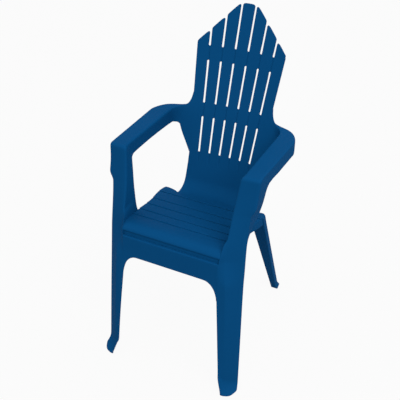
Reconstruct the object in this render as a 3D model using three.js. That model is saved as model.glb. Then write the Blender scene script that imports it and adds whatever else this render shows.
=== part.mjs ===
// A high-backed garden chair of the adirondack style, moulded in one piece of plastic.
// Millimetres, +Z up, the front faces -Y. Left and right are as seen from the front.
// The real chair is a single moulding, so each node here is one of its members: a slat, a band,
// a rail, an arm or a leg. Members meet with a hairline seam and nothing moves.
import * as THREE from 'three';

// Wall and seam
const wall = 4;
const seam = 0.3;

// Back: a plane leaning rearwards, curved round the sitter, cut into slats that fan out upwards
const backFootY = 417;
const backFootRise = 97;
const backSlopeShare = 0.36;
const backHeight = 430;
const backCurveRadius = 700;
const slatPitchLow = 33.3;
const slatPitchHigh = 40.3;
const slatPitchRise = 305;
const slotWidth = 7.4;
const slatCount = 7;
const gableApexRise = 25.5;
const gableSlopeShare = 1.008;
const slatCornerRadius = 6;
const upperBandShares = [0.616, 0.709];
const middleBandShares = [0.242, 0.335];
const bandThickness = 3;
const grooveDepth = 1.2;

// Waist of the back, measured to its side edge
const waistHalfLow = 112;
const waistHalfMiddle = 110.5;

// Seat: a plane falling to the rear, filleted into the back
const seatFrontY = 75;
const seatFall = 47.4;
const seatFallRun = 268;
const seatBackFillet = 48;
const seatGrooveYs = [130, 168, 210, 252, 305];
const seatHalfFront = 160.2;
const seatHalfRear = 168.5;
const seatFlareStartY = 225;
const seatFlareEndY = 310;
const seatRearY = 338;
const seatCornerRadius = 18;

// Rolled front edge of the seat and the apron under it
const noseFrontY = 57;
const noseDrop = 17;
const noseCrown = 2.5;
const noseRecessY = 66;
const noseHalfWidth = 160.2;
const apronTopZ = 453;
const seatAboveApron = 31.6;
const apronTopY = 51;
const apronHeight = 67;
const apronHalf = 149.7;
const apronFilletWidth = 45;
const apronFilletHeight = 64;
const apronEdgeRadius = 2.5;
const apronLedgeShare = 1.055;

// Front leg below the seat: a V section of a strip facing the front and a broad face turned outwards
// Each of its three lines is given at the floor, half way up and at the apron's lower edge
const legInner = { x: [176.6, 162.1, 146.8], y: [12.6, 27, 47.5] };
const legRidge = { x: [190.6, 182.2, 173], y: [18.5, 31.7, 48.2] };
const legOuter = { x: [221.5, 215.4, 209.2], y: [46.5, 63, 86.3] };

// Front foot: the leg's last stretch turns out into a rounded toe
const footHeight = 45;
const toeReach = 23;
const toeShare = [0.2, 0.62, 1, 0.94, 0.68, 0.1];

// Front post above the apron: inner wall, front face and outer flange
// Its crease and its outer corner are given at equal steps from the apron's top to the arm
const armRise = 239;
const creaseLine = { x: [163.6, 159.7, 159.2, 161.8, 166, 170.5], y: [71, 79, 93.5, 109, 122, 134] };
const cornerLine = { x: [212, 208.2, 206.2, 207.6, 210, 213], y: [102, 105, 110, 119, 128.5, 137] };
const postRearY = 147;
const flangeLowDepth = 8;
const flangeDepth = 84;
const flangeShares = [0.26, 0.55];
const postTopDrop = 80;
const edgeRadius = 5;
const armLevelRows = 2;

// Arm: a channel open below, joined to the back by a wing
const armFall = 11;
const armFrontOuterX = 221.5;
const armFrontOuterY = 139;
const armKinkX = 228.5;
const armKinkY = 368;
const armInnerX = 174.5;
const innerSkirtDrop = 44;
const innerSkirtRearDrop = 54;
const outerSkirtFrontDrop = 40;
const outerSkirtRearDrop = 54;
const skirtStepDrop = 68;
const outerSkirtStartY = 250;
const wingFillet = 38;
const wingFilletLow = 10;
const armLip = 7;
const armRearCornerX = 210;
const armRearCornerY = 417;
const armRearInnerX = 139;
const wingTipRise = 5;
const wingTopRise = 24;
const wingTipX = 115;
const wingMouthX = 148;
const wingMouthDrop = 80;
const wingEdgeDrop = 52;

// Side rail, rear rail and rear leg
const railClear = 0.4;
const sideRailFrontY = 150.5;
const sideRailFrontDepth = 24;
const sideRailRearDepth = 41;
const rearLegLowX = { outer: 176, ridge: 154, inner: 141 };
const rearLegLowY = { outer: 513.5, ridge: 539.5, inner: 542.5 };
const rearLegTopX = { outer: 172.5, ridge: 144, inner: 128 };
const rearLegTopY = { outer: 324.5, ridge: 345, inner: 347 };
const rearFootHeight = 22;
const rearToeReach = 5;
const rearRailDepth = 40;
const rearRailFillet = 16;

// Counts of facets along curves
const curveSteps = 6;
const panelColumns = 10;

const plastic = { color: 0x0d4275, roughness: 0.42, metalness: 0 };

const chair = new THREE.Group();

// Linear blend and the quadratic curve through three points
const mix = (a, b, t) => a + (b - a) * t;
// Smooth curve through values at equal steps, t running from 0 at the first to 1 at the last
function curveAt(values, t) {
  const last = values.length - 1;
  const i = Math.min(last - 1, Math.max(0, Math.floor(t * last)));
  const slope = (j) => {
    const [a, b] = [Math.max(0, j - 1), Math.min(last, j + 1)];
    return (values[b] - values[a]) / (b - a);
  };
  const u = t * last - i;
  const [from, to] = [values[i], values[i + 1]];
  const bulge = (slope(i) - (to - from)) * (1 - u) - (slope(i + 1) - (to - from)) * u;
  return mix(from, to, u) + u * (1 - u) * bulge;
}
const smooth = (value, from, to) => THREE.MathUtils.smoothstep(value, from, to);
const steps = (count) => Array.from({ length: count + 1 }, (_, i) => i / count);
const point = (x, y, z) => new THREE.Vector3(x, y, z);

function addNode(name, geometry, parent = chair) {
  const mesh = new THREE.Mesh(geometry, new THREE.MeshStandardMaterial(plastic));
  mesh.name = name;
  parent.add(mesh);
  return mesh;
}

// Closed body from a vertex list and faces; the faces are turned so that they point out
function closedBody(vertices, faces) {
  let volume = 0;
  const cross = new THREE.Vector3();
  for (const [a, b, c] of faces) {
    volume += vertices[a].dot(cross.crossVectors(vertices[b], vertices[c]));
  }
  const turned = volume < 0 ? faces.map(([a, b, c]) => [a, c, b]) : faces;
  const geometry = new THREE.BufferGeometry();
  geometry.setAttribute('position', new THREE.Float32BufferAttribute(vertices.flatMap((v) => v.toArray()), 3));
  geometry.setIndex(turned.flat());
  geometry.computeVertexNormals();
  return geometry;
}

// Body between a face sheet and a back sheet, both given as rows of points
function bodyBetween(face, back) {
  const rows = face.length;
  const columns = face[0].length;
  const vertices = [...face.flat(), ...back.flat()];
  const faceAt = (r, c) => r * columns + c;
  const backAt = (r, c) => rows * columns + r * columns + c;
  const faces = [];
  const quad = (a, b, c, d) => faces.push([a, b, c], [a, c, d]);
  for (let r = 0; r + 1 < rows; r += 1) {
    for (let c = 0; c + 1 < columns; c += 1) {
      quad(faceAt(r, c), faceAt(r, c + 1), faceAt(r + 1, c + 1), faceAt(r + 1, c));
      quad(backAt(r, c), backAt(r + 1, c), backAt(r + 1, c + 1), backAt(r, c + 1));
    }
    quad(faceAt(r, 0), faceAt(r + 1, 0), backAt(r + 1, 0), backAt(r, 0));
    quad(faceAt(r + 1, columns - 1), faceAt(r, columns - 1), backAt(r, columns - 1), backAt(r + 1, columns - 1));
  }
  for (let c = 0; c + 1 < columns; c += 1) {
    quad(faceAt(0, c + 1), faceAt(0, c), backAt(0, c), backAt(0, c + 1));
    quad(faceAt(rows - 1, c), faceAt(rows - 1, c + 1), backAt(rows - 1, c + 1), backAt(rows - 1, c));
  }
  return closedBody(vertices, faces);
}

// Sheet offset by the wall thickness; the first levelRows rows keep their points at their own height
function offsetSheet(sheet, thickness, levelRows) {
  const patchNormal = (r, c) => {
    const [[a, b], [d, e]] = [sheet[r].slice(c, c + 2), sheet[r + 1].slice(c, c + 2)];
    return new THREE.Vector3().crossVectors(e.clone().sub(a), b.clone().sub(d)).normalize();
  };
  return sheet.map((row, r) => row.map((p, c) => {
    const normals = [];
    for (const [dr, dc] of [[0, 0], [0, 1], [1, 0], [1, 1]]) {
      if (sheet[r - dr] && sheet[r - dr + 1] && c - dc >= 0 && c - dc + 1 < row.length) {
        normals.push(patchNormal(r - dr, c - dc));
      }
    }
    if (r < levelRows) normals.forEach((n) => n.setZ(0).normalize());
    const mean = normals.reduce((sum, n) => sum.add(n), new THREE.Vector3()).normalize();
    const lean = Math.max(0.6, Math.min(...normals.map((n) => n.dot(mean))));
    return p.clone().addScaledVector(mean, thickness / lean);
  }));
}

const shell = (sheet, thickness, levelRows = 0) => bodyBetween(sheet, offsetSheet(sheet, thickness, levelRows));
const shifted = (sheet, move) => sheet.map((row) => row.map((p) => p.clone().add(move)));
const mirrored = (sheet) => sheet.map((row) => row.map((p) => point(-p.x, p.y, p.z)));

// Flat outline of [x, z] or [x, y] pairs carried onto a surface and given a depth
function plate(outline, place, depth) {
  const contour = outline.map(([a, b]) => new THREE.Vector2(a, b));
  const triangles = THREE.ShapeUtils.triangulateShape(contour, []);
  const face = outline.map(([a, b]) => place(a, b));
  const vertices = [...face, ...face.map((p) => p.clone().add(depth))];
  const count = outline.length;
  const faces = [];
  for (const [a, b, c] of triangles) faces.push([a, b, c], [a + count, c + count, b + count]);
  const turn = THREE.ShapeUtils.isClockWise(contour) ? 1 : -1;
  for (let i = 0; i < count; i += 1) {
    const j = (i + 1) % count;
    const wallFaces = [[i, j, j + count], [i, j + count, i + count]];
    faces.push(...wallFaces.map(([a, b, c]) => (turn > 0 ? [a, b, c] : [a, c, b])));
  }
  return closedBody(vertices, faces);
}

// Corner of an outline replaced by an arc that touches both of its sides
function rounded(before, corner, after, radius) {
  const at = new THREE.Vector2(...corner);
  const toBefore = new THREE.Vector2(...before).sub(at);
  const toAfter = new THREE.Vector2(...after).sub(at);
  const reach = Math.min(radius, toBefore.length() / 2, toAfter.length() / 2);
  const start = at.clone().addScaledVector(toBefore.normalize(), reach);
  const end = at.clone().addScaledVector(toAfter.normalize(), reach);
  const bend = new THREE.QuadraticBezierCurve(start, at, end);
  return bend.getPoints(curveSteps / 2).map((p) => [p.x, p.y]);
}

// Surfaces that members share
const apronLowZ = apronTopZ - apronHeight;
const backFootZ = apronTopZ + backFootRise;
const backTopZ = backFootZ + backHeight;
const armFrontZ = apronTopZ + armRise;
const armRearZ = armFrontZ - armFall;
const innerSkirtZ = armFrontZ - innerSkirtDrop;
const innerSkirtRearZ = armFrontZ - innerSkirtRearDrop;
const outerSkirtFrontZ = armFrontZ - outerSkirtFrontDrop;
const outerSkirtRearZ = armFrontZ - outerSkirtRearDrop;
const wingTipZ = backFootZ + wingTipRise;
const wingMouthZ = armFrontZ - wingMouthDrop;
const wingEdgeZ = armFrontZ - wingEdgeDrop;
const wingTopZ = armFrontZ + wingTopRise;
const backDepth = point(0, wall * Math.hypot(1, backSlopeShare), 0);
const backY = (x, z) => backFootY + backSlopeShare * (z - backFootZ) - x * x / (2 * backCurveRadius);
const onBack = (x, z) => point(x, backY(x, z), z);
const slatPitch = (z) => mix(slatPitchLow, slatPitchHigh, (z - backFootZ) / slatPitchRise);
const slatEdge = (index, side, z) => (index + side / 2) * slatPitch(z) - side * slotWidth / 2;
const backHalf = (z) => slatEdge((slatCount - 1) / 2, 1, z);
const seatSlope = seatFall / seatFallRun;
const seatFrontZ = apronTopZ + seatAboveApron;
const seatZ = (y) => seatFrontZ - seatSlope * (y - seatFrontY);
const seatDepth = point(0, 0, -wall * Math.hypot(1, seatSlope));
const underSeatZ = (y) => seatZ(y) + seatDepth.z - railClear;
const rearLegTopZ = underSeatZ(seatRearY);
const seatHalf = (y) => mix(seatHalfFront, seatHalfRear, smooth(y, seatFlareStartY, seatFlareEndY));

// Fillet between seat and back at a distance x from the middle: its centre and end angles
function seatBackBend(x) {
  const backBase = backY(x, backFootZ) - backSlopeShare * backFootZ;
  const seatBase = seatZ(0);
  const cornerYAt = (backBase + backSlopeShare * seatBase) / (1 + backSlopeShare * seatSlope);
  const corner = new THREE.Vector2(cornerYAt, seatZ(cornerYAt));
  const up = new THREE.Vector2(backSlopeShare, 1).normalize();
  const forward = new THREE.Vector2(-1, seatSlope).normalize();
  const half = up.angleTo(forward) / 2;
  const centre = corner.clone().addScaledVector(up.clone().add(forward).normalize(), seatBackFillet / Math.sin(half));
  const reach = seatBackFillet / Math.tan(half);
  return {
    centre,
    seatEnd: corner.clone().addScaledVector(forward, reach),
    backEnd: corner.clone().addScaledVector(up, reach),
  };
}

// Point on the fillet, share 0 at the seat and 1 at the back
function onBend(x, share) {
  const { centre, seatEnd, backEnd } = seatBackBend(x);
  const from = seatEnd.clone().sub(centre).angle();
  const to = backEnd.clone().sub(centre).angle();
  const turn = mix(from, to < from ? to + 2 * Math.PI : to, share);
  return point(x, centre.x + seatBackFillet * Math.cos(turn), centre.y + seatBackFillet * Math.sin(turn));
}

// Back slats, each with its top cut along the gable and its corners rounded
function backSlat(index) {
  const lowZ = backFootZ + seam;
  const gableZ = (x) => Math.min(backTopZ, backTopZ + gableApexRise - gableSlopeShare * Math.abs(x));
  const topAt = (side) => {
    let z = backTopZ;
    for (let i = 0; i < curveSteps; i += 1) z = gableZ(slatEdge(index, side, z));
    return [slatEdge(index, side, z), z];
  };
  const [topLeft, topRight] = [topAt(-1), topAt(1)];
  const low = [-1, 1].map((side) => [slatEdge(index, side, lowZ), lowZ]);
  return plate([
    low[0], low[1],
    ...rounded(low[1], topRight, topLeft, slatCornerRadius),
    ...rounded(topRight, topLeft, low[0], slatCornerRadius),
  ], onBack, backDepth);
}

// Cross band: a strap behind the slats with a web in each slot, a groove's depth below the slats' faces
function crossBand(shares) {
  const [lowZ, highZ] = shares.map((share) => mix(backFootZ, backTopZ, share));
  const ring = (z) => {
    const behind = (x, depth) => point(x, backY(x, z) + depth, z);
    const front = backDepth.y + seam;
    const end = backHalf(z);
    const points = [behind(-end, front)];
    for (let slot = 0; slot < slatCount - 1; slot += 1) {
      const middle = (slot + 1 - slatCount / 2) * slatPitch(z);
      const half = slotWidth / 2 - seam;
      points.push(behind(middle - half, front), behind(middle - half, grooveDepth));
      points.push(behind(middle + half, grooveDepth), behind(middle + half, front));
    }
    points.push(behind(end, front));
    return points;
  };
  const rear = (z, points) => points.map((p) => point(p.x, backY(p.x, z) + backDepth.y + seam + bandThickness, z));
  const face = [ring(lowZ), ring(highZ)];
  return bodyBetween(face, [rear(lowZ, face[0]), rear(highZ, face[1])]);
}

// Plain panel below the slats, curved forward into the seat
function lowerBackPanel() {
  const bendTopZ = seatBackBend(0).backEnd.y;
  const halves = [waistHalfLow, waistHalfMiddle, backHalf(backFootZ)];
  const half = (z) => Math.min(curveAt(halves, (z - bendTopZ) / (backFootZ - bendTopZ)), halves.at(-1));
  const shares = steps(panelColumns).map((s) => 2 * s - 1);
  const bend = steps(curveSteps).map((s) => shares.map((share) => {
    const x = share * waistHalfLow;
    return onBend(x, mix(seam / seatBackFillet, 1, s));
  }));
  const upper = steps(curveSteps).slice(1).map((s) => {
    const z = mix(bendTopZ, backFootZ, s);
    return shares.map((share) => onBack(share * half(z), z));
  });
  return shell([...bend, ...upper], wall);
}

// How far the wing has turned forward out of the back's surface
function wingForward(x, z) {
  const radius = mix(wingFilletLow, wingFillet, smooth(z, wingMouthZ, armRearZ));
  const into = Math.max(0, x - (armInnerX - radius));
  return radius - Math.sqrt(Math.max(0, radius ** 2 - into ** 2));
}

// Wing: the back's surface carried outwards and turned forward into the arm's inner skirt
function backWing() {
  const stepZ = armTopZ(backY(armRearInnerX, armRearZ)) - armLip - seam;
  const edge = (z) => {
    if (z > stepZ) return mix(armRearInnerX - wall, backHalf(wingTopZ) + wall, (z - stepZ) / (wingTopZ - stepZ));
    if (z > wingEdgeZ) return armInnerX - seam;
    if (z > wingMouthZ) return mix(wingMouthX, armInnerX - seam, ((z - wingMouthZ) / (wingEdgeZ - wingMouthZ)) ** 2);
    return mix(wingTipX, wingMouthX, (z - wingTipZ) / (wingMouthZ - wingTipZ));
  };
  const onWing = (x, z) => {
    return point(x, backY(x, z) - wingForward(x, z), z);
  };
  const heights = [...steps(3).map((s) => mix(wingTipZ, wingMouthZ, s)),
    ...steps(4).slice(1).map((s) => mix(wingMouthZ, wingEdgeZ, s)),
    mix(wingEdgeZ, stepZ, 0.5), stepZ - seam, stepZ + seam, mix(stepZ, wingTopZ, 0.5), wingTopZ];
  const sheet = heights.map((z) => steps(panelColumns - 2).map((s) => {
    const x = mix(backHalf(z) + seam, edge(z), s);
    return onWing(x, z);
  }));
  return bodyBetween(sheet, shifted(sheet, backDepth));
}

// Strips of the seat between its grooves, and the rear strip with its rounded corners
const onSeat = (x, y) => point(x, y, seatZ(y));
function seatStrip(frontY, rearY) {
  const sheet = steps(curveSteps / 2).map((s) => {
    const y = mix(frontY, rearY, s);
    return [-1, 0, 1].map((side) => onSeat(side * seatHalf(y), y));
  });
  return bodyBetween(sheet, shifted(sheet, seatDepth));
}

function seatRearStrip(frontY) {
  const half = seatHalf(seatRearY);
  const bend = (x) => seatBackBend(x).seatEnd.x - seam;
  const inside = steps(panelColumns).map((s) => mix(-waistHalfLow, waistHalfLow, s));
  const side = (sign) => {
    const front = [sign * seatHalf(frontY), frontY];
    const corner = [sign * half, seatRearY];
    const inner = [sign * (waistHalfLow + seam), seatRearY];
    return [front, ...rounded(front, corner, inner, seatCornerRadius), inner,
      [sign * (waistHalfLow + seam), bend(waistHalfLow)]];
  };
  return plate([...side(-1), ...inside.map((x) => [x, bend(x)]), ...side(1).reverse()], onSeat, seatDepth);
}

// Rolled front edge of the seat, with the recessed band below it. Its ends run along the posts' inner walls
// and turn outwards in front of them to the posts' creases
function noseEnd(p) {
  const corner = crease(p.z);
  const inFront = p.y < corner.y - seam;
  return inFront ? point(corner.x, corner.y - 2 * seam, p.z) : point(noseHalfWidth + seam, p.y, p.z);
}

function seatNose() {
  const rearY = seatGrooveYs[0] - seam;
  const topY = mix(noseFrontY, seatFrontY, 0.6);
  const roll = new THREE.CatmullRomCurve3([
    point(0, rearY, seatZ(rearY)),
    point(0, seatFrontY + noseRecessY / 3, seatZ(seatFrontY + noseRecessY / 3) + noseCrown),
    point(0, seatFrontY, seatFrontZ + noseCrown / 2),
    point(0, topY, seatFrontZ - noseDrop / 8),
    point(0, noseFrontY, seatFrontZ - noseDrop * 0.6),
    point(0, noseFrontY + noseCrown / 2, seatFrontZ - noseDrop),
    point(0, noseRecessY, seatFrontZ - noseDrop - wall),
    point(0, noseRecessY + seam, apronTopZ + 3 * seam),
  ]);
  const profile = roll.getPoints(3 * curveSteps);
  const sheet = profile.map((p) => {
    const end = noseEnd(p);
    const main = [-noseHalfWidth, noseHalfWidth].map((x) => point(x, p.y, p.z));
    return [point(-end.x, end.y, end.z), ...main, end];
  });
  return shell(sheet, -wall);
}

// The apron's face and the legs' inner edges lie in one surface
function apronFaceY(z) {
  if (z < apronLowZ) return curveAt(legInner.y, z / apronLowZ);
  return mix(legInner.y.at(-1), apronTopY, (z - apronLowZ) / (apronTopZ - apronLowZ));
}

// Apron between the front legs: its lower edge sweeps down into them, its top turns in as a ledge
function frontApron() {
  const lowZ = (x) => {
    const into = Math.max(0, Math.abs(x) - (apronHalf - apronFilletWidth)) / apronFilletWidth;
    return apronLowZ - apronFilletHeight * (1 - Math.sqrt(Math.max(0, 1 - into ** 2)));
  };
  const fillet = steps(curveSteps).map((s) => apronHalf - apronFilletWidth * (1 - Math.sin(s * Math.PI / 2)));
  const xs = [...fillet.map((x) => -x).reverse(), ...fillet];
  const rows = steps(3).map((s) => xs.map((x) => {
    const z = mix(lowZ(x), apronTopZ - apronEdgeRadius, s);
    return point(x, apronFaceY(z), z);
  }));
  const turn = xs.map((x) => point(x, apronTopY + apronEdgeRadius, apronTopZ));
  const shelf = xs.map((x) => point(x, apronTopY + wall + 2 * seam, apronTopZ + seam / 2));
  const ledge = xs.map((x) => point(x * apronLedgeShare, noseRecessY + wall, apronTopZ + seam));
  return shell([...rows, turn, shelf, ledge], wall);
}

// Front leg: section through its three lines at a height, as six points from inner edge to outer edge
const onLine = (line, share, z) => point(curveAt(line.x, share), curveAt(line.y, share), z);
function legSection(z) {
  const share = Math.min(1, z / apronLowZ);
  const [inner, ridge, outer] = [legInner, legRidge, legOuter].map((line) => onLine(line, share, z));
  inner.set(Math.max(inner.x, apronHalf + 2 * seam), apronFaceY(z), z);
  const toPost = Math.max(0, (z - apronLowZ) / (apronTopZ - apronLowZ));
  ridge.lerp(onLine(creaseLine, 0, z), toPost);
  outer.lerp(onLine(cornerLine, 0, z), toPost);
  const middle = inner.clone().lerp(ridge, 0.5);
  if (toPost > 0) middle.y = inner.y;
  return [inner, middle, ridge, ridge.clone().lerp(outer, 1 / 3), ridge.clone().lerp(outer, 2 / 3), outer];
}

function frontLeg() {
  const heights = [...steps(2 * curveSteps).map((s) => mix(footHeight + seam, apronLowZ, s)),
    mix(apronLowZ, apronTopZ, 0.5), apronTopZ];
  return heights.map(legSection);
}

function frontFoot() {
  const [ridge, outer] = [legRidge, legOuter].map((line) => onLine(line, 0, 0));
  const outward = new THREE.Vector2(outer.y - ridge.y, ridge.x - outer.x).normalize();
  return steps(curveSteps).map((s) => {
    const z = mix(0, footHeight, s);
    return legSection(z).map((p, i) => {
      const reach = toeReach * toeShare[i] * (1 - s) ** 2;
      return point(p.x + outward.x * reach, p.y + outward.y * reach, z);
    });
  });
}

// Post and arm share one channel section: free inner edge, inner corner, outer corner, free outer edge
function channelSection(innerEdge, inner, outer, outerEdge) {
  const towards = (from, to) => from.clone().addScaledVector(to.clone().sub(from).normalize(), edgeRadius);
  return [innerEdge, towards(inner, innerEdge), towards(inner, outer), towards(outer, inner),
    towards(outer, outerEdge), outerEdge];
}
const postShare = (z) => (z - apronTopZ) / (armFrontZ - apronTopZ);
const crease = (z) => onLine(creaseLine, postShare(z), z);
const postCorner = (z) => onLine(cornerLine, postShare(z), z);
const postTopZ = armFrontZ - postTopDrop;

function postSection(z) {
  const inner = crease(z);
  const outer = postCorner(z);
  const depth = mix(flangeLowDepth, flangeDepth, smooth(postShare(z), ...flangeShares));
  return channelSection(
    point(inner.x + seam, postRearY, z), inner, outer, point(outer.x, outer.y + depth, z),
  );
}

const frontPost = () => steps(2 * curveSteps).map((s) => postSection(mix(apronTopZ + seam, postTopZ, s)));

const armTopZ = (y) => mix(armFrontZ, armRearZ, (y - armFrontOuterY) / (backY(armInnerX, armRearZ) - armFrontOuterY));

// Arm: its channel starts on the post, turns the corner, runs back and closes round the rear
function armrest() {
  const skirtStepZ = armFrontZ - skirtStepDrop;
  const rearY = (x) => backY(x, armRearZ);
  const flush = postSection(postTopZ + seam);
  const frontInner = (z) => crease(z);
  const frontOuter = (z) => {
    const share = smooth(z, postTopZ, skirtStepZ);
    const lean = mix(postCorner(z).y, armFrontOuterY, smooth(z, skirtStepZ, armFrontZ));
    return point(mix(postCorner(z).x, armFrontOuterX, share), lean, z);
  };
  const outerEdgeX = (y) => mix(armFrontOuterX, armKinkX, smooth(y, armFrontOuterY, armKinkY));
  const sections = [flush];
  const flangeY = postCorner(postTopZ).y + flangeDepth;
  const stand = (z, innerZ, innerY, outerY, outerZ) => sections.push(channelSection(
    point(armInnerX - edgeRadius, innerY, innerZ), frontInner(z), frontOuter(z),
    point(outerEdgeX(outerY), outerY, outerZ),
  ));
  const innerX = (z) => frontInner(z).x + seam;
  sections.push(channelSection(point(innerX(skirtStepZ), postRearY, skirtStepZ), frontInner(skirtStepZ),
    frontOuter(skirtStepZ), point(armFrontOuterX, flangeY, skirtStepZ + seam)));
  stand(mix(skirtStepZ, armFrontZ, 0.5), innerSkirtZ - 2 * edgeRadius, postRearY,
    mix(flangeY, outerSkirtStartY, 0.5), mix(skirtStepZ, outerSkirtFrontZ, 0.6));
  stand(armFrontZ - edgeRadius, innerSkirtZ - edgeRadius / 2, postRearY + edgeRadius,
    outerSkirtStartY, outerSkirtFrontZ - seam);
  const along = (y, innerY, outerY) => {
    const inner = point(armInnerX, y, armTopZ(y));
    const outer = point(outerEdgeX(y), y, armTopZ(y));
    const low = mix(outerSkirtFrontZ, outerSkirtRearZ, smooth(outerY, outerSkirtStartY, armKinkY));
    const free = point(outerEdgeX(outerY), outerY, low);
    return channelSection(point(armInnerX, innerY, skirtLow(innerY)), inner, outer, free);
  };
  const frontY = armFrontOuterY + edgeRadius;
  const skirtLow = (y) => mix(innerSkirtZ, innerSkirtRearZ, smooth(y, armKinkY - wingFillet, armRearCornerY));
  for (const s of steps(curveSteps)) {
    const y = mix(frontY, armKinkY, s);
    const innerY = mix(postRearY + 2 * edgeRadius, armKinkY, s);
    sections.push(along(y, innerY, mix(outerSkirtStartY + edgeRadius, armKinkY, s)));
  }
  // Rear: the inner edge follows the wing, the outer edge turns the corner and runs in along the back
  const filletStartY = rearY(armInnerX) - wingFillet;
  const inset = armInnerX - armRearInnerX;
  const innerCurve = (share) => {
    const x = mix(armInnerX, armRearInnerX, share);
    return point(x, backY(x, armRearZ) - wingForward(x, armRearZ) - seam, 0);
  };
  const outerPath = new THREE.CatmullRomCurve3([
    point(armKinkX, armKinkY, 0), point(armRearCornerX, armRearCornerY, 0),
    point(armRearCornerX - inset / 2, rearY(armRearCornerX - inset / 2) - seam, 0),
    point(armRearInnerX, rearY(armRearInnerX) + seam, 0),
  ]);
  const rearSection = (a, b, edge, s) => {
    const fade = smooth(s, 0.6, 0.85);
    const [inner, outer] = [a, b].map((p) => point(p.x, p.y, armTopZ(p.y)));
    return channelSection(edge, inner, outer, point(b.x, b.y, mix(outerSkirtRearZ, outer.z - armLip, fade)));
  };
  const turnIn = outerPath.getPoint(1 / (2 * curveSteps));
  const skirtEndY = backY(armInnerX, innerSkirtRearZ) - wingForward(armInnerX - seam, innerSkirtRearZ) - seam;
  const last = point(armInnerX, filletStartY - edgeRadius, 0);
  sections.push(rearSection(last, turnIn, point(armInnerX, skirtEndY, skirtLow(skirtEndY)), 0));
  for (const s of steps(2 * curveSteps).slice(2)) {
    const a = innerCurve((s * 2 * curveSteps - 2) / (2 * curveSteps - 2));
    sections.push(rearSection(a, outerPath.getPoint(s), point(a.x, a.y, armTopZ(a.y) - armLip), s));
  }
  return sections;
}

// Side rail: a skirt under the seat's edge from the front post to the rear leg
function sideRail() {
  const rearY = seatRearY - seatCornerRadius;
  return steps(2 * curveSteps).map((s) => {
    const y = mix(sideRailFrontY, rearY, s);
    const x = seatHalf(y);
    const top = underSeatZ(y);
    const low = top - mix(sideRailFrontDepth, sideRailRearDepth, s);
    return [point(x, y, top), point(x + seam, y, mix(top, low, 0.5)), point(x + 2 * seam, y, low)];
  });
}

// Rear leg: the front leg's section turned to the rear
const rearLines = ['outer', 'ridge', 'inner'];
function rearLegSection(z) {
  const share = z / rearLegTopZ;
  const [outer, ridge, inner] = rearLines.map((line) => point(
    mix(rearLegLowX[line], rearLegTopX[line], share), mix(rearLegLowY[line], rearLegTopY[line], share), z));
  return [outer, outer.clone().lerp(ridge, 1 / 3), outer.clone().lerp(ridge, 2 / 3), ridge, inner];
}
function rearLeg() {
  const rows = steps(curveSteps).map((s) => rearLegSection(mix(rearFootHeight + seam, rearLegTopZ, s)));
  rows.at(-1).forEach((p) => p.setZ(underSeatZ(p.y)));
  return rows;
}

function rearFoot() {
  return steps(curveSteps / 2).map((s) => rearLegSection(mix(0, rearFootHeight, s)).map((p, i) => {
    const reach = rearToeReach * (1 - s) * (i === 4 ? 0 : 1);
    return point(p.x + reach, p.y + reach, p.z);
  }));
}

// Rear rail between the rear legs, in line with their inner strips
function rearRail() {
  const rearRailLowZ = rearLegTopZ - rearRailDepth;
  const xs = steps(panelColumns).map((s) => 2 * s - 1);
  const top = (x, y) => {
    const { centre } = seatBackBend(x);
    const dip = Math.sqrt(Math.max(0, (seatBackFillet + wall) ** 2 - (y - centre.x) ** 2));
    return centre.y - dip - seam;
  };
  const half = (z) => rearLegSection(z)[4].x - seam;
  const lineY = (z) => rearLegSection(z)[4].y;
  return steps(3).map((s) => xs.map((share) => {
    const topY = lineY(rearLegTopZ);
    const x = share * half(rearRailLowZ);
    const crest = Math.min(top(x, topY), rearLegTopZ);
    const into = Math.max(0, Math.abs(x) - half(rearRailLowZ) + rearRailFillet) / rearRailFillet;
    const low = rearRailLowZ - rearRailFillet * (1 - Math.sqrt(Math.max(0, 1 - into ** 2)));
    const z = mix(low, crest, s);
    return point(share * half(z), lineY(z), z);
  }));
}

// The two sides share every sheet; the left one is its mirror image
function addPair(name, sheet, levelRows = sheet.length) {
  addNode(`${name}_right`, shell(sheet, wall, levelRows));
  addNode(`${name}_left`, shell(mirrored(sheet), -wall, levelRows));
}

for (let i = 0; i < slatCount; i += 1) addNode(`back_slat_${i + 1}`, backSlat(i - (slatCount - 1) / 2));
addNode('back_band_upper', crossBand(upperBandShares));
addNode('back_band_middle', crossBand(middleBandShares));
addNode('lower_back_panel', lowerBackPanel());
const wing = backWing();
addNode('back_wing_right', wing);
const wingLeft = wing.clone().applyMatrix4(new THREE.Matrix4().makeScale(-1, 1, 1));
wingLeft.setIndex(Array.from(wing.index.array).reverse());
addNode('back_wing_left', wingLeft);

addNode('seat_nose', seatNose());
for (let i = 0; i + 1 < seatGrooveYs.length; i += 1) {
  addNode(`seat_slat_${i + 1}`, seatStrip(seatGrooveYs[i] + seam, seatGrooveYs[i + 1] - seam));
}
addNode(`seat_slat_${seatGrooveYs.length}`, seatRearStrip(seatGrooveYs.at(-1) + seam));
addNode('front_apron', frontApron());
addPair('front_leg', frontLeg());
addPair('front_foot', frontFoot());
addPair('front_post', frontPost());
addPair('armrest', armrest(), armLevelRows);
addPair('side_rail', sideRail());
addPair('rear_leg', rearLeg());
addPair('rear_foot', rearFoot());
const rail = rearRail();
addNode('rear_rail', shell(rail, wall, rail.length));

// The origin lies on the floor, in the middle of the chair's length and width
const box = new THREE.Box3().setFromObject(chair);
chair.position.set(0, -(box.min.y + box.max.y) / 2, -box.min.z);

export default chair;
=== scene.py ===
"""High-backed garden chair of the adirondack style, moulded in one piece of blue plastic.

The mouldings are drawn in millimetres as sheets of points, in the chair's own lines: X is 0 in the
middle, Y is 0 at the front legs and grows towards the rear, Z is 0 on the floor. Each sheet is then
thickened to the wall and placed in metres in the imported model's frame.
"""
import math

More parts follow.
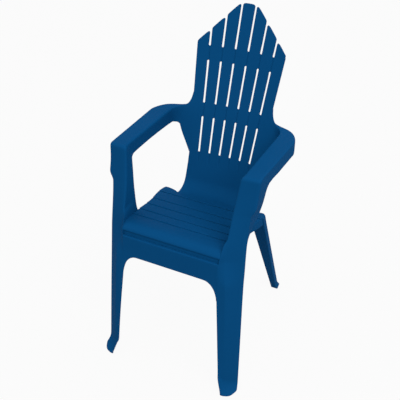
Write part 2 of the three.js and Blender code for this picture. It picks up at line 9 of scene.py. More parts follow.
import bmesh
import bpy
from bpy.props import FloatProperty, FloatVectorProperty, PointerProperty
from bpy.types import Operator, Panel, PropertyGroup
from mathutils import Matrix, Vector


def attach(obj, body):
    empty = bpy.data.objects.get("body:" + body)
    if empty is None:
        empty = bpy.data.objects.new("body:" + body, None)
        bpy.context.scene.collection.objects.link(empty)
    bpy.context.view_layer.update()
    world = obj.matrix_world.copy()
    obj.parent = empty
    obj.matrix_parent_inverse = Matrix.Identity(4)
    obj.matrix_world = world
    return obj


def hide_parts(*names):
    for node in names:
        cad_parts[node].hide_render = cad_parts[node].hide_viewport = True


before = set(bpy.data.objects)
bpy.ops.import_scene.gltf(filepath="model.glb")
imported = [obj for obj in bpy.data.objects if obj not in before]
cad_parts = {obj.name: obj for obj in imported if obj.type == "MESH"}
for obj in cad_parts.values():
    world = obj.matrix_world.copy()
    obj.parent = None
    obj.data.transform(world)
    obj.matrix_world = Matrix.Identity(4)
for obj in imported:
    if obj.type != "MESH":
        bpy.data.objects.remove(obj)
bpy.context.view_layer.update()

bl_info = {
    "name": "Moulded Garden Chair",
    "version": (1, 0, 0),
    "blender": (4, 5, 0),
    "location": "3D View > Sidebar > Garden Chair",
    "description": "Builds a high-backed garden chair moulded in plastic",
    "category": "Add Mesh",
}

MM = 0.001
CHAIR_MIDDLE_Y = 288.7034

# Bends between two faces: parts, and largest share of a face that they take
BEND_PARTS = 3
BEND_SHARE = 0.45
# Largest shares of a wall and of a flange that their rims take
WALL_RIM_SHARE = 0.3
FLANGE_RIM_SHARE = 0.45
# Behind a sharp bend the wall grows by no more than 1 / this; lengths below TINY count as none
WALL_LEAN_LIMIT = 0.6
TINY = 0.01

# Back: a plane leaning rearwards and curved round the sitter. Its foot is (Y, Z) in the middle
BACK_FOOT = (417, 550)
BACK_SLOPE = 0.36
BACK_TOP = 981.2
BACK_CURVE = 700.0
# Slats, whose pitch grows as they rise from the foot
SLATS = 7
SLAT_PITCH = (33.7, 40.3)
SLAT_PITCH_RISE = 305.0
# Gable: how far above the top its slopes meet, and how steeply they fall
GABLE_RISE = 25.5
GABLE_SLOPE = 1.008
# Slots as (lower end, upper end); the top ones run out at the gable
SLOTS_LOW = (550, 654)
SLOTS_MIDDLE = (694, 815)
SLOTS_TOP = 855.0
# Nearest rows outside and inside a slot's end
SLOT_END_ROWS = (4, 10)
# Heights over which the back's grooves deepen
GROOVE_FADE = (512, 538)
# Columns of a slat, in from either edge, and of a slot, as shares of its half width
SLAT_COLUMNS = (0, 1.5, 6)
SLOT_COLUMNS = (-0.6, 0, 0.6)
# How far a slat's end lies below the gable at the columns in from its upper edge, its lower edge
# and the middle slat's edges, and the rounds in which fan and gable meet
TIP_HIGH = (8.4, 4.1, 0)
TIP_LOW = (2.5, 0.4, 0)
TIP_LEVEL = (6, 2.1, 0)
TIP_ROUNDS = 5
# Lower panel: half width at the seat, at the bend's end and half way to the slats, and its rows
WAIST = (117.5, 115, 114.5)
BEND_ROWS = 7
PANEL_LEVELS = (494, 504, 512, 520, 530, 539, 542)

# Seat: a plane falling to the rear and filleted into the back. Its front is (Y, Z)
SEAT_FRONT = (75, 484.6)
SEAT_SLOPE = 47.4 / 268.0
SEAT_BEND = 48.0
# Grooves' lines, and their form as (distance behind the line, share of the depth)
SEAT_GROOVES = (130, 168, 210, 252, 305)
SEAT_GROOVE_FORM = ((-4.4, 0), (-3, 0.05), (-1.7, 0.9), (0, 1.1), (1.2, 0.85), (2.2, -0.3), (4.2, -0.2))
# Half width in front and at the rear, and where it grows
SEAT_HALF = (161.5, 171.5)
SEAT_FLARE = (225, 310)
# Strip behind the last groove: start, rows, rear edge beside the back and at the corners, width
# over which the edge leaves the back, and the corners' radius
REAR_STRIP_START = 4.0
REAR_STRIP_ROWS = (0.35, 0.7, 0.92, 1)
SEAT_REAR = (335, 349.5)
SEAT_REAR_FADE = 8.0
SEAT_CORNER = 15.0
EDGE_ROLL = 2.5
# Columns across the waist, and from there to the seat's edge
SEAT_MIDDLE_PARTS = 10
SEAT_SIDE_COLUMNS = (0.12, 0.35, 0.7, 0.93, 1)
# Rolled front edge as (Y, Z), and behind it as (Y, height above the seat's plane)
NOSE = ((104, 481.6), (88, 484.4), (76, 484.6), (67, 481.4), (60.2, 476.4), (57, 471),
        (57.6, 467.2), (58.9, 465), (59.2, 461.5), (58.6, 452.8))
NOSE_END = (112, 1)

# Apron, its fillets' width and height, and the ledge under the nose as (Y, Z)
APRON_TOP = 453.0
APRON_LOW = 386.0
APRON_FACE = 51.0
APRON_HALF = 148.0
APRON_ROLL = 2.5
APRON_FILLET = (41.5, 58)
APRON_FILLET_PARTS = 9
LEDGE = ((51.8, 452.2), (53.5, 453), (57, 453.2), (61, 453.3))
LEDGE_SPREAD = 1.02

# Front legs: lines as X and Y at the floor, half way up and at the apron's lower edge
LEG_INNER = ((176.2, 161.4, 144.8), (8.5, 26, 47.5))
LEG_RIDGE = ((190.6, 182.2, 173), (18.5, 31.7, 48.2))
LEG_OUTER = ((224, 218.2, 211.9), (45.5, 65, 84.8))
# Radii of ridge and corner, and the lip behind the corner, which turns to the rear further up
LEG_RADII = (3, 2.5)
LEG_LIP = 3.0
LEG_LIP_TURN = 80.0
# Rows of the foot, of the shank in equal parts, and beside the apron
FOOT_LEVELS = (0, 1.5, 5, 10, 16, 24, 32, 40, 47, 53, 60, 80)
SHANK_START = 105.0
SHANK_PARTS = 10
APRON_LEVELS = (400, 416, 432, 445, 451, APRON_TOP)
# Columns of strip, face and flange, and wall, as shares of their widths
STRIP_COLUMNS = (0.18, 0.6)
FACE_COLUMNS = (0.3, 0.65)
WALL_COLUMNS = (0.35, 0.65, 0.9)
# Toe, at equal steps from the leg's inner edge to its outer corner: where it starts, how sharply
# it comes forwards and how far it has moved in X, Y and Z at the floor
TOE_HEIGHT = (54, 48, 42, 37, 32, 31)
TOE_POWER = (0.5, 0.9, 1.4, 1.8, 2, 2)
TOE_SHIFT = ((11.5, 10.5, 8.8, 7, 7.4, 4), (-12.5, -17.5, -23, -29.5, -31, -14),
             (0, 0, 0, 0, 1.5, 8))
# The toe draws back under its tip: height, and share of the shift that is lost
TOE_CURL = (6, 0.12)
# Places of strip's and face's columns between inner edge and outer corner
TOE_STRIP = (0, 0.07, 0.24, 0.37, 0.39, 0.41, 0.43)
TOE_FACE = (0.43, 0.6, 0.78, 0.94, 0.96, 0.98, 1, 1, 1, 1, 1)

# Strips of the front legs that run on past the nose's ends, up to the posts: inner edge as
# (Z, X, Y), and how far the seat reaches into the wall beside them
STRIP_EDGE = ((453, 148, 51), (463, 149.4, 52.6), (472.5, 150.6, 55.5), (482, 151.4, 61),
              (492, 151.7, 68), (505, 153.4, 75.5), (512, 156.4, 81), (518, 159.6, 89))
SEAT_OVERLAP = 2.0

# Post: lines as X and Y at equal steps from the apron's top to the arm, the corner's swell as
# (width, from, to), and the heights over which both grow round
ARM_TOP = 692.0
CREASE = ((163.6, 159.7, 159.2, 161.8, 166, 170.5), (71, 79, 93.5, 109, 122, 134))
CORNER = ((210.4, 209.5, 208.8, 210.4, 211.6, 214), (92.6, 100.6, 109, 119, 129.5, 137.5))
CORNER_SWELL = (11.5, 586, 608)
POST_ROUNDING = ((500, 540), (596, 650))
POST_LEVELS = (458, 465, 472, 480, 488, 496, 504, 511, 518, 526, 534, 542, 550,
               558, 567, 580, 588, 597, 606, 616, 628, 644, 658, 669, 677, 683)
# Flange's free edge as (height on the corner, X, Y, Z)
FLANGE_EDGE = (
    (453, 210.2, 95.8, 453), (500, 208.6, 104, 500.5), (516, 208.2, 110.5, 518),
    (526, 208, 126, 531), (534, 208, 143, 540.5), (542, 208.2, 160, 547),
    (550, 209.2, 176, 555), (558, 210, 188.5, 563), (567, 211, 196, 573),
    (580, 213.8, 197.8, 586), (600, 217.6, 196, 606), (620, 220.6, 193.8, 623),
    (640, 222.6, 194.6, 634.5), (660, 223.6, 199.5, 640.8), (676, 223.9, 206.5, 644),
    (683, 223.5, 210, 644.7), (692, 223.7, 224, 645),
)
# Inner wall's free edge as (height on the crease, Y, Z), and how far it lies outside the crease
WALL_EDGE = (
    (453, 168, 453), (466, 163, 466), (488, 155, 488), (509, 151, 509),
    (536, 148.6, 536), (564, 148, 563), (596, 151.2, 593), (622, 154.8, 615),
    (640, 157, 629), (655, 159, 638), (668, 161, 643.6), (677, 163, 646.2),
    (683, 165, 647.6),
)
WALL_OUTSIDE = 0.4
# Share of a wall below its bend, and of a wing below its bend and its tangent
WALL_TURN = 0.9
WING_TURN = 0.88
WING_TANGENT = 0.93

# Arm: fall to the rear, front end of the inner line, outer line as (X, Y) in front and at the rear
ARM_FALL = 11.0
ARM_INNER = 174.5
ARM_FRONT = 146.0
ARM_OUTER = ((223.5, 148.5), (230.5, 368))
EDGE_RADIUS = 7.5
OUTER_RADIUS = 6.0
ARM_BEND_ROWS = (0.22, 0.45, 0.7, 1)
ARM_PARTS = 13
# Skirts' free edges at the post's top, the arm's front and its rear, and the share of the arm over
# which the outer one falls
ARM_EDGE_IN = ((170.1, 165, 647.6), (ARM_INNER, 180, 648), (ARM_INNER, 406, 634.5))
ARM_EDGE_OUT = ((223.9, 210, 644.7), (224.4, 232, 645), (231.9, 377, 642.5))
ARM_EDGE_FALL = 0.3

# Wing: fillet's radius low and high up, edge's radius and rows of narrowing to it, fold behind it,
# and the heights between which it joins the back
WING_FILLET = (10, 38)
WING_FILLET_HEIGHTS = (612, 681)
WING_RADIUS = 1.6
WING_NARROWING = (4, 8)
WING_FOLD = 0.3
WING_JOINT = (545, 724)
# Rear turn, row by row: top inner line (X, Z), wing's lower edge (X, Z), outer line (X, Y)
# and the outer skirt's depth
REAR_TURN = (
    ((174, 681.2), (174, 634), (231, 380), 38.5),
    ((172.8, 681.2), (173, 632.5), (227, 396.5), 38.5),
    ((170.2, 681.2), (171, 631), (218, 415), 38.5),
    ((166, 681.2), (168, 630), (206.5, 430), 38),
    ((160.5, 681.2), (164.5, 629), (192, 439.5), 35.5),
    ((155, 681.4), (161, 627), (177, 445), 28),
    ((150, 682), (157, 625.5), (164, 449), 18),
    ((145.5, 683.4), (154.2, 617.5), None, 9),
    ((141.6, 686), (149.4, 606.5), None, 7),
    ((138.2, 690), (143.2, 595), None, 7),
    ((135.2, 695.2), (136.4, 583), None, 7),
    ((132.8, 701.5), (129.6, 571.5), None, 7),
    ((131, 708.5), (123.4, 560), None, 7),
    ((129.8, 716), (118.6, 551.5), None, 7),
)

# Side rails: front end, the seat's edge beside them, depths in front and at the rear with the
# power of the change, and outward lean
RAIL_FRONT = 150.5
RAIL_SPAN = (RAIL_FRONT - 2, SEAT_REAR[1] - SEAT_CORNER)
RAIL_DEPTHS = (23, 31)
RAIL_POWER = 4
RAIL_LEAN = 0.6

# Rear legs: front inner, front outer, rear outer and rear inner corner as (X, Y) at the floor and
# at the top, and the foot's height, reach outwards and share of it to the rear
REAR_LEG_LOW = ((153.8, 509), (172, 509), (169, 536), (156, 544))
REAR_LEG_TOP = ((130.3, 318), (174.5, 318), (172.5, 342), (140, 342))
REAR_LEG_BEND = 3.0
REAR_LEG_START = 25.0
REAR_LEG_PARTS = 9
REAR_FOOT = (17, 6, 0.4)
REAR_FOOT_LEVELS = (0, 1.5, 5, 11, REAR_FOOT[0])
# Depth below the seat's surface at which the rear legs' walls, their lids and the rail end
UNDER_SEAT = 4.5
LID_DEPTH = 1.5
# Rear rail: depth, fillets into the legs, and clearance from the surface of the seat's bend
REAR_RAIL_DEPTH = 40.0
REAR_RAIL_FILLET = 16.0
REAR_RAIL_FILLET_PARTS = 6
REAR_RAIL_CLEARANCE = 4.3

# Plastic: noises as (scale per metre, detail) and their effect
FLOW_NOISE = (7, 3)
SHEEN_NOISE = (60, 4)
GRAIN_DETAIL = 2.0
GRAIN_STRENGTH = 0.25
ROUGHNESS_SPREAD = 0.05
PLASTIC_IOR = 1.49

# Stage, in metres
FLOOR_ROUGHNESS = 0.9
KEY_SIZE = 6.0
KEY_PLACE = (4.5, -3.4, 7.5)
KEY_TARGET = (0, 0, 0.5)
CAMERA_PLACE = (0.70803, -1.49638, 1.63632)
CAMERA_DIRECTION = (-0.35776, 0.73515, -0.57583)
CAMERA_SENSOR = 36.0


# Curves and lines

def mix(a, b, share):
    return a + (b - a) * share


def smooth(value, start, end):
    """0 before start, 1 after end, and an even change between them."""
    share = min(1.0, max(0.0, (value - start) / (end - start)))
    return share * share * (3 - 2 * share)


def steps(count):
    return [i / count for i in range(count + 1)]


def curve_at(values, share):
    """Smooth curve through values at equal steps."""
    last = len(values) - 1
    i = min(last - 1, max(0, math.floor(share * last)))

    def slope(j):
        a, b = max(0, j - 1), min(last, j + 1)
        return (values[b] - values[a]) / (b - a)

    part = share * last - i
    rise = values[i + 1] - values[i]
    bulge = (slope(i) - rise) * (1 - part) - (slope(i + 1) - rise) * part
    return mix(values[i], values[i + 1], part) + part * (1 - part) * bulge


def row_at(table, key):
    """Values of a table's row, blended between the two rows whose keys enclose the key."""
    for low, high in zip(table, table[1:]):
        if key <= high[0]:
            share = (key - low[0]) / (high[0] - low[0])
            return [mix(a, b, share) for a, b in zip(low[1:], high[1:])]
    return list(table[-1][1:])


def arc_at(start, corner, end, share):
    """Point of a curve that leaves start towards the corner and reaches end from it."""
    return start * (1 - share) ** 2 + corner * (2 * share * (1 - share)) + end * share ** 2


def spline_at(before, a, b, after, share):
    """Point between a and b on a smooth curve through all four points."""
    return 0.5 * (2 * a + (b - before) * share + (2 * before - 5 * a + 4 * b - after) * share * share
                  + (3 * a - 3 * b + after - before) * share ** 3)


def turned(before, corner, after, radius):
    """Points of a bend that replaces a corner, from the side of before to the side of after."""
    def along(other):
        way = other - corner
        return corner + way.normalized() * min(radius, way.length * BEND_SHARE)
    start, end = along(before), along(after)
    return [arc_at(start, corner, end, share) for share in steps(BEND_PARTS)]


def fillet_columns(half, width, parts):
    """X of the columns across a piece that ends in a fillet on either side."""
    side = [half - width * (1 - math.sin(share * math.pi / 2)) for share in steps(parts)]
    return [-x for x in reversed(side)] + [mix(-side[0], side[0], share) for share in steps(5)[1:-1]] + side


def fillet_drop(x, half, width, height):
    """How far a lower edge has dropped at X because of its fillets."""
    into = max(0.0, abs(x) - (half - width)) / width
    return height * (1 - math.sqrt(max(0.0, 1 - into ** 2)))


# Surfaces that the mouldings share

def back_y(x, z):
    return BACK_FOOT[0] + BACK_SLOPE * (z - BACK_FOOT[1]) - x * x / (2 * BACK_CURVE)


def slat_pitch(z):
    return mix(*SLAT_PITCH, (z - BACK_FOOT[1]) / SLAT_PITCH_RISE)


def back_half(z, slot):
    return SLATS / 2 * slat_pitch(z) - slot / 2


def seat_z(y):
    return SEAT_FRONT[1] - SEAT_SLOPE * (y - SEAT_FRONT[0])


def bend_at(x):
    """Fillet between seat and back at a distance from the middle: centre, seat end and back end."""
    back_base = back_y(x, 0.0)
    seat_base = seat_z(0.0)
    y = (back_base + BACK_SLOPE * seat_base) / (1 + BACK_SLOPE * SEAT_SLOPE)
    corner = Vector((y, seat_z(y)))
    up = Vector((BACK_SLOPE, 1.0)).normalized()
    forward = Vector((-1.0, SEAT_SLOPE)).normalized()
    half = up.angle(forward) / 2
    centre = corner + (up + forward).normalized() * SEAT_BEND / math.sin(half)
    reach = SEAT_BEND / math.tan(half)
    return centre, corner + forward * reach, corner + up * reach


def on_bend(x, share):
    centre, seat_end, back_end = bend_at(x)
    start = math.atan2(seat_end.y - centre.y, seat_end.x - centre.x)
    end = math.atan2(back_end.y - centre.y, back_end.x - centre.x)
    if end < start:
        end += 2 * math.pi
    angle = mix(start, end, share)
    return Vector((x, centre.x + SEAT_BEND * math.cos(angle), centre.y + SEAT_BEND * math.sin(angle)))


def apron_face_y(z):
    if z < APRON_LOW:
        return curve_at(LEG_INNER[1], z / APRON_LOW)
    return mix(LEG_INNER[1][-1], APRON_FACE, (z - APRON_LOW) / (APRON_TOP - APRON_LOW))


def apron_half(z):
    return max(APRON_HALF, curve_at(LEG_INNER[0], min(1.0, z / APRON_LOW)))


def post_line(line, z):
    share = (z - APRON_TOP) / (ARM_TOP - APRON_TOP)
    swell = CORNER_SWELL[0] * smooth(z, *CORNER_SWELL[1:]) if line is CORNER else 0.0
    return Vector((curve_at(line[0], share) + swell, curve_at(line[1], share), z))


def wing_point(x, z):
    """Point of the back's surface, brought forwards by the fillet into the arm's inner skirt."""
    radius = mix(*WING_FILLET, smooth(z, *WING_FILLET_HEIGHTS))
    into = max(0.0, x - (ARM_INNER - radius))
    forward = radius - math.sqrt(max(0.0, radius ** 2 - into ** 2))
    return Vector((x, back_y(x, z) - forward, z))


def arm_point(x, y):
    front, rear = ARM_OUTER[0][1], back_y(ARM_INNER, ARM_TOP - ARM_FALL)
    return Vector((x, y, mix(ARM_TOP, ARM_TOP - ARM_FALL, (y - front) / (rear - front))))


# Sheets and solids

class Sheet:
    """Open surface made of patches that weld where their points coincide."""

    def __init__(self, *patches):
        self.points = []
        self.faces = []
        self.known = {}
        self.joints = set()
        for rows in patches:
            self.patch(rows)

    def vertex(self, point):
        key = tuple(round(value, 3) for value in point)
        if key not in self.known:
            self.known[key] = len(self.points)
            self.points.append(point.copy())
        return self.known[key]

    def patch(self, rows, keep=None):
        """Quads between rows of points; keep(row, column) leaves a quad out where it is false."""
        ids = [[self.vertex(p) for p in row] for row in rows]
        for r in range(len(rows) - 1):
            for c in range(len(rows[r]) - 1):
                if keep and not keep(r, c):
                    continue
                corners = [ids[r][c], ids[r][c + 1], ids[r + 1][c + 1], ids[r + 1][c]]
                corners = [v for i, v in enumerate(corners) if v not in corners[:i]]
                if len(corners) > 2:
                    self.faces.append(corners)

    def drop_loose(self):
        """Forget the points that no face uses."""
        used = sorted({i for face in self.faces for i in face})
        order = {old: new for new, old in enumerate(used)}
        self.points = [self.points[i] for i in used]
        self.faces = [[order[i] for i in face] for face in self.faces]
        self.known = {key: order[i] for key, i in self.known.items() if i in order}

    def joint(self, points):
        """These points lie on an edge that runs on flush into a neighbouring moulding."""
        self.joints.update(self.vertex(p) for p in points)


def thickened(sheet, wall, outward):
    """Points and faces of the sheet and its copy one wall behind it, and the edges with rims."""
    bm = bmesh.new()
    front = [bm.verts.new(p) for p in sheet.points]
    for face in sheet.faces:
        bm.faces.new([front[i] for i in face])
    bmesh.ops.recalc_face_normals(bm, faces=bm.faces)
    bm.faces.ensure_lookup_table()
    bm.normal_update()
    if bm.faces[0].normal.dot(outward) < 0:
        bmesh.ops.reverse_faces(bm, faces=bm.faces)
        bm.normal_update()
    behind = []
    for vert in front:
        normals = [f.normal for f in vert.link_faces]
        if vert.co.z < TINY:
            normals = [Vector((n.x, n.y, 0.0)).normalized() for n in normals]
        mean = sum(normals, Vector()).normalized()
        lean = max(WALL_LEAN_LIMIT, min(n.dot(mean) for n in normals))
        inner = vert.co - mean * wall / lean
        behind.append(Vector((inner.x, inner.y, max(inner.z, 0.0))))
    bm.verts.index_update()
    loops = [[v.index for v in f.verts] for f in bm.faces]
    starts = [edge.link_loops[0] for edge in bm.edges if edge.is_boundary]
    rims = [(loop.vert.index, loop.link_loop_next.vert.index) for loop in starts]
    count = len(front)
    points = [v.co.copy() for v in front] + behind
    bm.free()
    faces = loops + [[i + count for i in reversed(loop)] for loop in loops]
    faces += [[b, a, a + count, b + count] for a, b in rims]
    return points, faces, rims


def solid_mesh(name, sheet, wall, outward, mirrored):
    """Closed mesh of the thickened sheet, in metres, with creases round its joints."""
    points, faces, rims = thickened(sheet, wall, outward)
    side = -MM if mirrored else MM
    place = [(p.x * side, (p.y - CHAIR_MIDDLE_Y) * MM, p.z * MM) for p in points]
    if mirrored:
        faces = [face[::-1] for face in faces]
    mesh = bpy.data.meshes.new(name)
    mesh.from_pydata(place, [], faces)
    count = len(sheet.points)
    sharp = {frozenset(pair) for pair in rims if pair[0] in sheet.joints and pair[1] in sheet.joints}
    sharp |= {frozenset(i + count for i in pair) for pair in sharp}
    crease = mesh.attributes.new("crease_edge", "FLOAT", "EDGE")
    for edge in mesh.edges:
        if frozenset(edge.vertices) in sharp:
            crease.data[edge.index].value = 1.0
            edge.use_edge_sharp = True
    mesh.validate()
    return mesh


def add_moulding(name, sheet, settings, outward, nodes, mirrored=False):
    mesh = solid_mesh(name, sheet, settings.wall / MM, Vector(outward), mirrored)
    for face in mesh.polygons:
        face.use_smooth = True
    piece = bpy.data.objects.new(name, mesh)
    bpy.context.scene.collection.objects.link(piece)
    rounding = piece.modifiers.new("Rounding", "SUBSURF")
    rounding.levels = 2
    rounding.render_levels = 2
    mesh.materials.append(plastic_material(settings))
    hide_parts(*nodes)
    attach(piece, "root")


def add_pair(name, sheet, settings, outward, nodes):
    for side in ("right", "left"):
        names = [f"{node}_{side}" for node in nodes]
        add_moulding(f"{name}_{side}", sheet, settings, outward, names, mirrored=side == "left")


# Material

def plastic_material(settings):
    """Satin polypropylene: even blue, with a fine moulded grain and faint flow marks."""
    known = bpy.data.materials.get("blue_moulded_plastic")
    if known:
        return known
    material = bpy.data.materials.new("blue_moulded_plastic")
    material.use_nodes = True
    nodes, links = material.node_tree.nodes, material.node_tree.links
    shader = nodes["Principled BSDF"]
    shader.inputs["IOR"].default_value = PLASTIC_IOR
    shader.inputs["Specular IOR Level"].default_value = settings.specular
    place = nodes.new("ShaderNodeTexCoord")

    def noise(scale, detail):
        texture = nodes.new("ShaderNodeTexNoise")
        texture.inputs["Scale"].default_value = scale
        texture.inputs["Detail"].default_value = detail
        links.new(place.outputs["Object"], texture.inputs["Vector"])
        return texture.outputs["Fac"]

    tint = nodes.new("ShaderNodeMix")
    tint.data_type = "RGBA"
    tint.inputs["A"].default_value = (*settings.plastic_shade, 1.0)
    tint.inputs["B"].default_value = (*settings.plastic_colour, 1.0)
    links.new(noise(*FLOW_NOISE), tint.inputs["Factor"])
    links.new(tint.outputs["Result"], shader.inputs["Base Color"])

    gloss = nodes.new("ShaderNodeMapRange")
    gloss.inputs["To Min"].default_value = settings.roughness - ROUGHNESS_SPREAD
    gloss.inputs["To Max"].default_value = settings.roughness + ROUGHNESS_SPREAD
    links.new(noise(*SHEEN_NOISE), gloss.inputs["Value"])
    links.new(gloss.outputs["Result"], shader.inputs["Roughness"])

    bump = nodes.new("ShaderNodeBump")
    bump.inputs["Strength"].default_value = GRAIN_STRENGTH
    bump.inputs["Distance"].default_value = settings.grain_height
    links.new(noise(1.0 / settings.grain_size, GRAIN_DETAIL), bump.inputs["Height"])
    links.new(bump.outputs["Normal"], shader.inputs["Normal"])
    return material


# Side frames

def leg_corners(z):
    """Inner edge, ridge and outer corner of the front leg at a height."""
    share = min(1.0, z / APRON_LOW)
    beside_apron = max(0.0, (z - APRON_LOW) / (APRON_TOP - APRON_LOW))

    def corner(leg_line, post):
        low = Vector((curve_at(leg_line[0], share), curve_at(leg_line[1], share), z))
        high = post_line(post, APRON_TOP)
        return low.lerp(Vector((high.x, high.y, z)), beside_apron)
    return Vector((apron_half(z), apron_face_y(z), z)), corner(LEG_RIDGE, CREASE), corner(LEG_OUTER, CORNER)


def strip_columns(start, bend):
    return [start, *(start.lerp(bend[0], share) for share in STRIP_COLUMNS), *bend]


def face_columns(before, inner, outer, edge, radii, rim):
    """Front face from its inner corner's tangent, round the outer corner and along the flange."""
    corner = turned(inner, outer, edge, radii[1])
    start = turned(before, inner, outer, radii[0])[-1]
    run = [start.lerp(corner[0], share) for share in (0.0, *FACE_COLUMNS)]
    lip = 1.0 - min(FLANGE_RIM_SHARE, rim / max((edge - corner[-1]).length, TINY))
    flange = [corner[-1].lerp(edge, share) for share in (*(lip * column for column in FACE_COLUMNS), lip, 1.0)]
    return run + corner + flange


def toe_moved(points, shares, z):
    """Points of the leg's foot pushed forwards into the rounded toe."""
    curl, loss = TOE_CURL
    moved = []
    for p, s in zip(points, shares):
        rise = max(0.0, 1 - z / curve_at(TOE_HEIGHT, s)) ** curve_at(TOE_POWER, s)
        rise *= 1 - loss * max(0.0, 1 - z / curl) ** 2
        moved.append(p + Vector([curve_at(shift, s) for shift in TOE_SHIFT]) * rise)
    return moved


def leg_rows(rim):
    """Rows of the front leg's strip and of its front face, from the floor to the apron's top."""
    strip_rows, face_rows = [], []
    shank = [mix(SHANK_START, APRON_LOW, share) for share in steps(SHANK_PARTS)]
    for z in (*FOOT_LEVELS, *shank, *APRON_LEVELS):
        inner, ridge, outer = leg_corners(z)
        inward = Vector((ridge.y - outer.y, outer.x - ridge.x, 0.0)).normalized()
        back = inward.lerp(Vector((0, 1, 0)), smooth(z, APRON_LOW - LEG_LIP_TURN, APRON_TOP)).normalized()
        strip = strip_columns(inner, turned(inner, ridge, outer, LEG_RADII[0]))
        face = face_columns(inner, ridge, outer, outer + back * LEG_LIP, LEG_RADII, rim)
        strip_rows.append(toe_moved(strip, TOE_STRIP, z))
        face_rows.append(toe_moved(face, TOE_FACE, z))
    return strip_rows, face_rows


def stand(rim, edge_in, inner, outer, edge_out, radii, on_wall=None, strip_edge=None):
    """Row of the inner wall and row of the front face, which meet in a bend at inner.

    on_wall(share) is for a curved wall, from its free edge upwards; strip_edge is the inner edge of
    the leg's strip, where that runs beside the wall.
    """
    before = strip_edge or (on_wall(WING_TANGENT) if on_wall else edge_in)
    bend = turned(before, inner, outer, radii[0])
    turn = strip_edge or (on_wall(WING_TURN) if on_wall else edge_in.lerp(bend[0], WALL_TURN))
    shares = (0.0, min(WALL_RIM_SHARE, rim / (turn - edge_in).length), *WALL_COLUMNS)
    wall_row = [on_wall(share * WING_TURN) if on_wall else edge_in.lerp(turn, share) for share in shares]
    return wall_row + strip_columns(turn, bend), face_columns(before, inner, outer, edge_out, radii, rim)


def post_stands():
    """Post, from the apron's top to just under the arm's front bend."""
    for z in (APRON_TOP, *POST_LEVELS):
        inner, outer = post_line(CREASE, z), post_line(CORNER, z)
        edge_in = Vector((inner.x + WALL_OUTSIDE, *row_at(WALL_EDGE, z)))
        edge_out = Vector(row_at(FLANGE_EDGE, z))
        radii = [mix(radius, EDGE_RADIUS, smooth(z, *heights)) for radius, heights in zip(LEG_RADII, POST_ROUNDING)]
        strip_edge = Vector((*row_at(STRIP_EDGE, z), z)) if z <= STRIP_EDGE[-1][0] else None
        yield edge_in, inner, outer, edge_out, radii, None, strip_edge


def arm_bend_stands():
    """Front bend, from the post into the arm."""
    below = [post_line(line, POST_LEVELS[-1]) for line in (CREASE, CORNER)]
    corners = [post_line(line, ARM_TOP) for line in (CREASE, CORNER)]
    behind = [arm_point(ARM_INNER, ARM_FRONT), arm_point(*ARM_OUTER[0])]
    for share in ARM_BEND_ROWS:
        inner, outer = [arc_at(*points, share) for points in zip(below, corners, behind)]
        edge_in, edge_out = [Vector(line[0]).lerp(Vector(line[1]), share) for line in (ARM_EDGE_IN, ARM_EDGE_OUT)]
        yield edge_in, inner, outer, edge_out, (EDGE_RADIUS, mix(EDGE_RADIUS, OUTER_RADIUS, share))


def arm_stands():
    """Arm, behind its front bend."""
    rear = wing_point(ARM_INNER, ARM_TOP - ARM_FALL).y
    for share in steps(ARM_PARTS)[1:]:
        inner = arm_point(ARM_INNER, mix(ARM_FRONT, rear, share))
        outer = arm_point(*(mix(a, b, share) for a, b in zip(*ARM_OUTER)))
        fall = smooth(share, 0.0, ARM_EDGE_FALL)
        edge_in = Vector([mix(a, b, s) for a, b, s in zip(*ARM_EDGE_IN[1:], (share, share, share * share))])
        edge_out = Vector([mix(a, b, s) for a, b, s in zip(*ARM_EDGE_OUT[1:], (share, share, fall))])
        yield edge_in, inner, outer, edge_out, (EDGE_RADIUS, OUTER_RADIUS)


def wing_stands(slot, wall):
    """Rear turn: the inner skirt becomes the wing and the outer one runs in behind it."""
    joint_low, joint_high = WING_JOINT
    last = ((back_half(joint_high, slot), joint_high), (back_half(joint_low, slot), joint_low),
            None, REAR_TURN[-1][3])
    for k, (top, low, outer_line, skirt) in enumerate(REAR_TURN + (last,)):
        inner = wing_point(*top)
        outer = arm_point(*outer_line) if outer_line else inner + Vector((0, wall + WING_FOLD, 0))
        narrowing = smooth(k, *WING_NARROWING)
        radii = [mix(radius, WING_RADIUS, narrowing) for radius in (EDGE_RADIUS, OUTER_RADIUS)]

        def on_wall(share, top=top, low=low):
            return wing_point(mix(low[0], top[0], share), mix(low[1], top[1], share))
        yield on_wall(0.0), inner, outer, outer - Vector((0, 0, skirt)), radii, on_wall


def side_frame_sheet(slot, wall, rim):
    """Foot, leg, post, arm and wing of the right side in one run of rows."""
    strip_rows, leg_faces = leg_rows(rim)
    stands = [*post_stands(), *arm_bend_stands(), *arm_stands(), *wing_stands(slot, wall)]
    wall_rows, face_rows = zip(*(stand(rim, *points) for points in stands))
    # The post's lowest row takes the place of the leg's highest one
    sheet = Sheet(strip_rows, wall_rows, leg_faces[:-1] + list(face_rows))
    sheet.joint([row[0] for row in strip_rows if row[0].z >= APRON_LOW - APRON_FILLET[1]])
    sheet.joint(wall_rows[-1])
    return sheet


# Back

def back_columns(z, slot):
    """Columns of the fan at a height: X, and the place across a slot or None on a slat."""
    pitch = slat_pitch(z)
    half = (pitch - slot) / 2
    columns = []
    for i in range(SLATS):
        centre = (i - (SLATS - 1) / 2) * pitch
        left = [centre + (offset - half) for offset in SLAT_COLUMNS]
        right = [centre + (half - offset) for offset in reversed(SLAT_COLUMNS)]
        columns += [(x, None) for x in (*left, centre, *right)]
        if i < SLATS - 1:
            columns += [(centre + pitch / 2 + across * slot / 2, across) for across in SLOT_COLUMNS]
    return columns


def back_point(x, z, across=None, groove=0.0):
    depth = 0.0 if across is None else groove * smooth(z, *GROOVE_FADE)
    return Vector((x, back_y(x, z) + depth, z))


